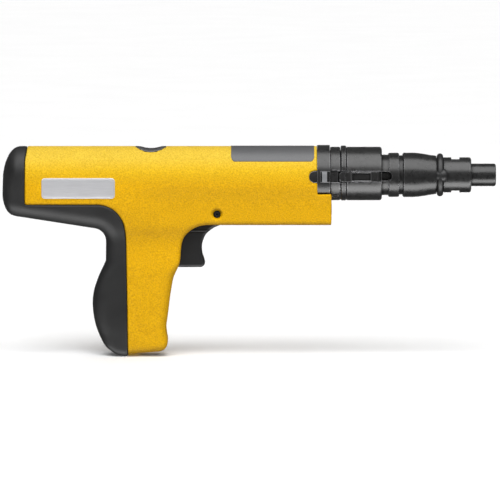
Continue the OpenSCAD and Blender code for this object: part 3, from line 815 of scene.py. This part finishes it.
def make_floor():
    """A pale round floor just under the handle."""
    sides = 96
    ring = [(x, y, 0) for x, y in arc(0, 0, FLOOR_R, 0, 360, sides)[:-1]]
    mesh = bpy.data.meshes.new("floor")
    mesh.from_pydata(ring, [], [list(range(sides))])
    floor = bpy.data.objects.new("floor", mesh)
    bpy.context.scene.collection.objects.link(floor)
    floor.location = ((cad_box[0][0] + cad_box[1][0]) / 2, 0, cad_box[0][2] - FLOOR_GAP)
    finish = Finish("pale_floor", 0.8, specular=0.1)
    grain = finish.noise((0.01, 0.01, 0.01), 2)
    tone = finish.ramp(grain, [(0.3, (0.96, 0.96, 0.96)), (0.7, (0.98, 0.98, 0.98))])
    finish.use("Base Color", tone)
    paint(floor, finish.material)
    # the tool is lit through the floor from below, and the floor isn't mirrored in the metal
    floor.visible_shadow = False
    floor.visible_glossy = False
    floor.visible_diffuse = False


def make_camera():
    """Square on to the near side, from 5 degrees above, through a long lens."""
    elevation = math.radians(5)
    distance = 4.0
    frame_width = 0.345
    target = Vector((-0.1693, 0, -0.0520))
    data = bpy.data.cameras.new("camera")
    data.sensor_width = 36
    data.lens = data.sensor_width * distance / frame_width
    data.clip_end = 60
    camera = bpy.data.objects.new("camera", data)
    bpy.context.scene.collection.objects.link(camera)
    camera.location = target + distance * Vector((0, -math.cos(elevation), math.sin(elevation)))
    camera.rotation_euler = (math.radians(90) - elevation, 0, 0)
    bpy.context.scene.camera = camera


def aimed(name, data, place):
    lamp = bpy.data.objects.new(name, data)
    bpy.context.scene.collection.objects.link(lamp)
    lamp.location = place
    aim = LAMP_TARGET - Vector(place)
    lamp.rotation_euler = aim.to_track_quat("-Z", "Y").to_euler()
    return lamp


def make_sun(name, place, strength, width_deg):
    """Even light from a wide disc of sky in one direction."""
    data = bpy.data.lights.new(name, "SUN")
    data.energy = strength
    data.angle = math.radians(width_deg)
    return aimed(name, data, place)


def make_soft_box(name, place, size_x, size_y, power):
    data = bpy.data.lights.new(name, "AREA")
    data.shape = "RECTANGLE"
    data.size = size_x
    data.size_y = size_y
    data.energy = power
    return aimed(name, data, place)


def make_world(ambient, mirrored, backdrop):
    """Surroundings that light the tool evenly, look dark in the metal and pale behind the tool."""
    world = bpy.data.worlds.new("studio")
    bpy.context.scene.world = world
    world.use_nodes = True
    tree = world.node_tree
    path = tree.nodes.new("ShaderNodeLightPath")
    surroundings = tree.nodes["Background"]
    surroundings.inputs["Strength"].default_value = ambient
    for ray, strength in (("Is Glossy Ray", mirrored), ("Is Camera Ray", backdrop)):
        seen = tree.nodes.new("ShaderNodeBackground")
        seen.inputs["Strength"].default_value = strength
        choose = tree.nodes.new("ShaderNodeMixShader")
        tree.links.new(path.outputs[ray], choose.inputs["Fac"])
        tree.links.new(surroundings.outputs[0], choose.inputs[1])
        tree.links.new(seen.outputs[0], choose.inputs[2])
        surroundings = choose
    for node in tree.nodes:
        if node.type == "BACKGROUND":
            node.inputs["Color"].default_value = (1, 1, 1, 1)
    tree.links.new(surroundings.outputs[0], tree.nodes["World Output"].inputs["Surface"])


def make_studio():
    make_floor()
    make_camera()
    key = make_sun("key", (-0.35, -1.0, 1.8), strength=2.25, width_deg=45)
    back = make_sun("back", (0.3, 1.0, 1.3), strength=0.5, width_deg=60)
    front = make_soft_box("front", (0.3, -2.2, 0.5), size_x=1.2, size_y=1.2, power=29)
    for lamp in (key, back, front):
        lamp.visible_glossy = False
    # two panels that only show as bright bands along the turned parts, above and below their middle
    upper = make_soft_box("upper_panel", (-0.17, -0.46, 0.91), size_x=3.0, size_y=1.26, power=33)
    lower = make_soft_box("lower_panel", (-0.17, -0.47, -1.02), size_x=3.0, size_y=0.74, power=33)
    for lamp in (upper, lower):
        lamp.visible_diffuse = False
    make_world(ambient=0.31, mirrored=0.13, backdrop=1.0)
    bpy.context.scene.view_settings.view_transform = "Standard"


# ---------------------------------------------------------------- assembly

finishes = all_finishes()
made_pieces = {
    "housing_yellow": [make_housing()],
    "soft_grip": [make_grip()],
    "black_plastic": [make_trigger()],
    "badge_silver": [make_badge("badge_near", -1), make_badge("badge_far", 1)],
}
for slot_name, made_list in made_pieces.items():
    for made in made_list:
        paint(made, finishes[slot_name])

# two nodes look darker than the rest of their material
darker = {"trigger_pin": "black_oxide", "port_ring": "satin_steel"}
for part in frame["record"]["subparts"]:
    node = frame["nodes"][part["node"]]
    finish_name = darker.get(part["node"], part["material_slot"])
    paint(node, finishes[finish_name])
    node.data.shade_smooth()
    node.data.set_sharp_from_angle(angle=math.radians(32))

make_studio()
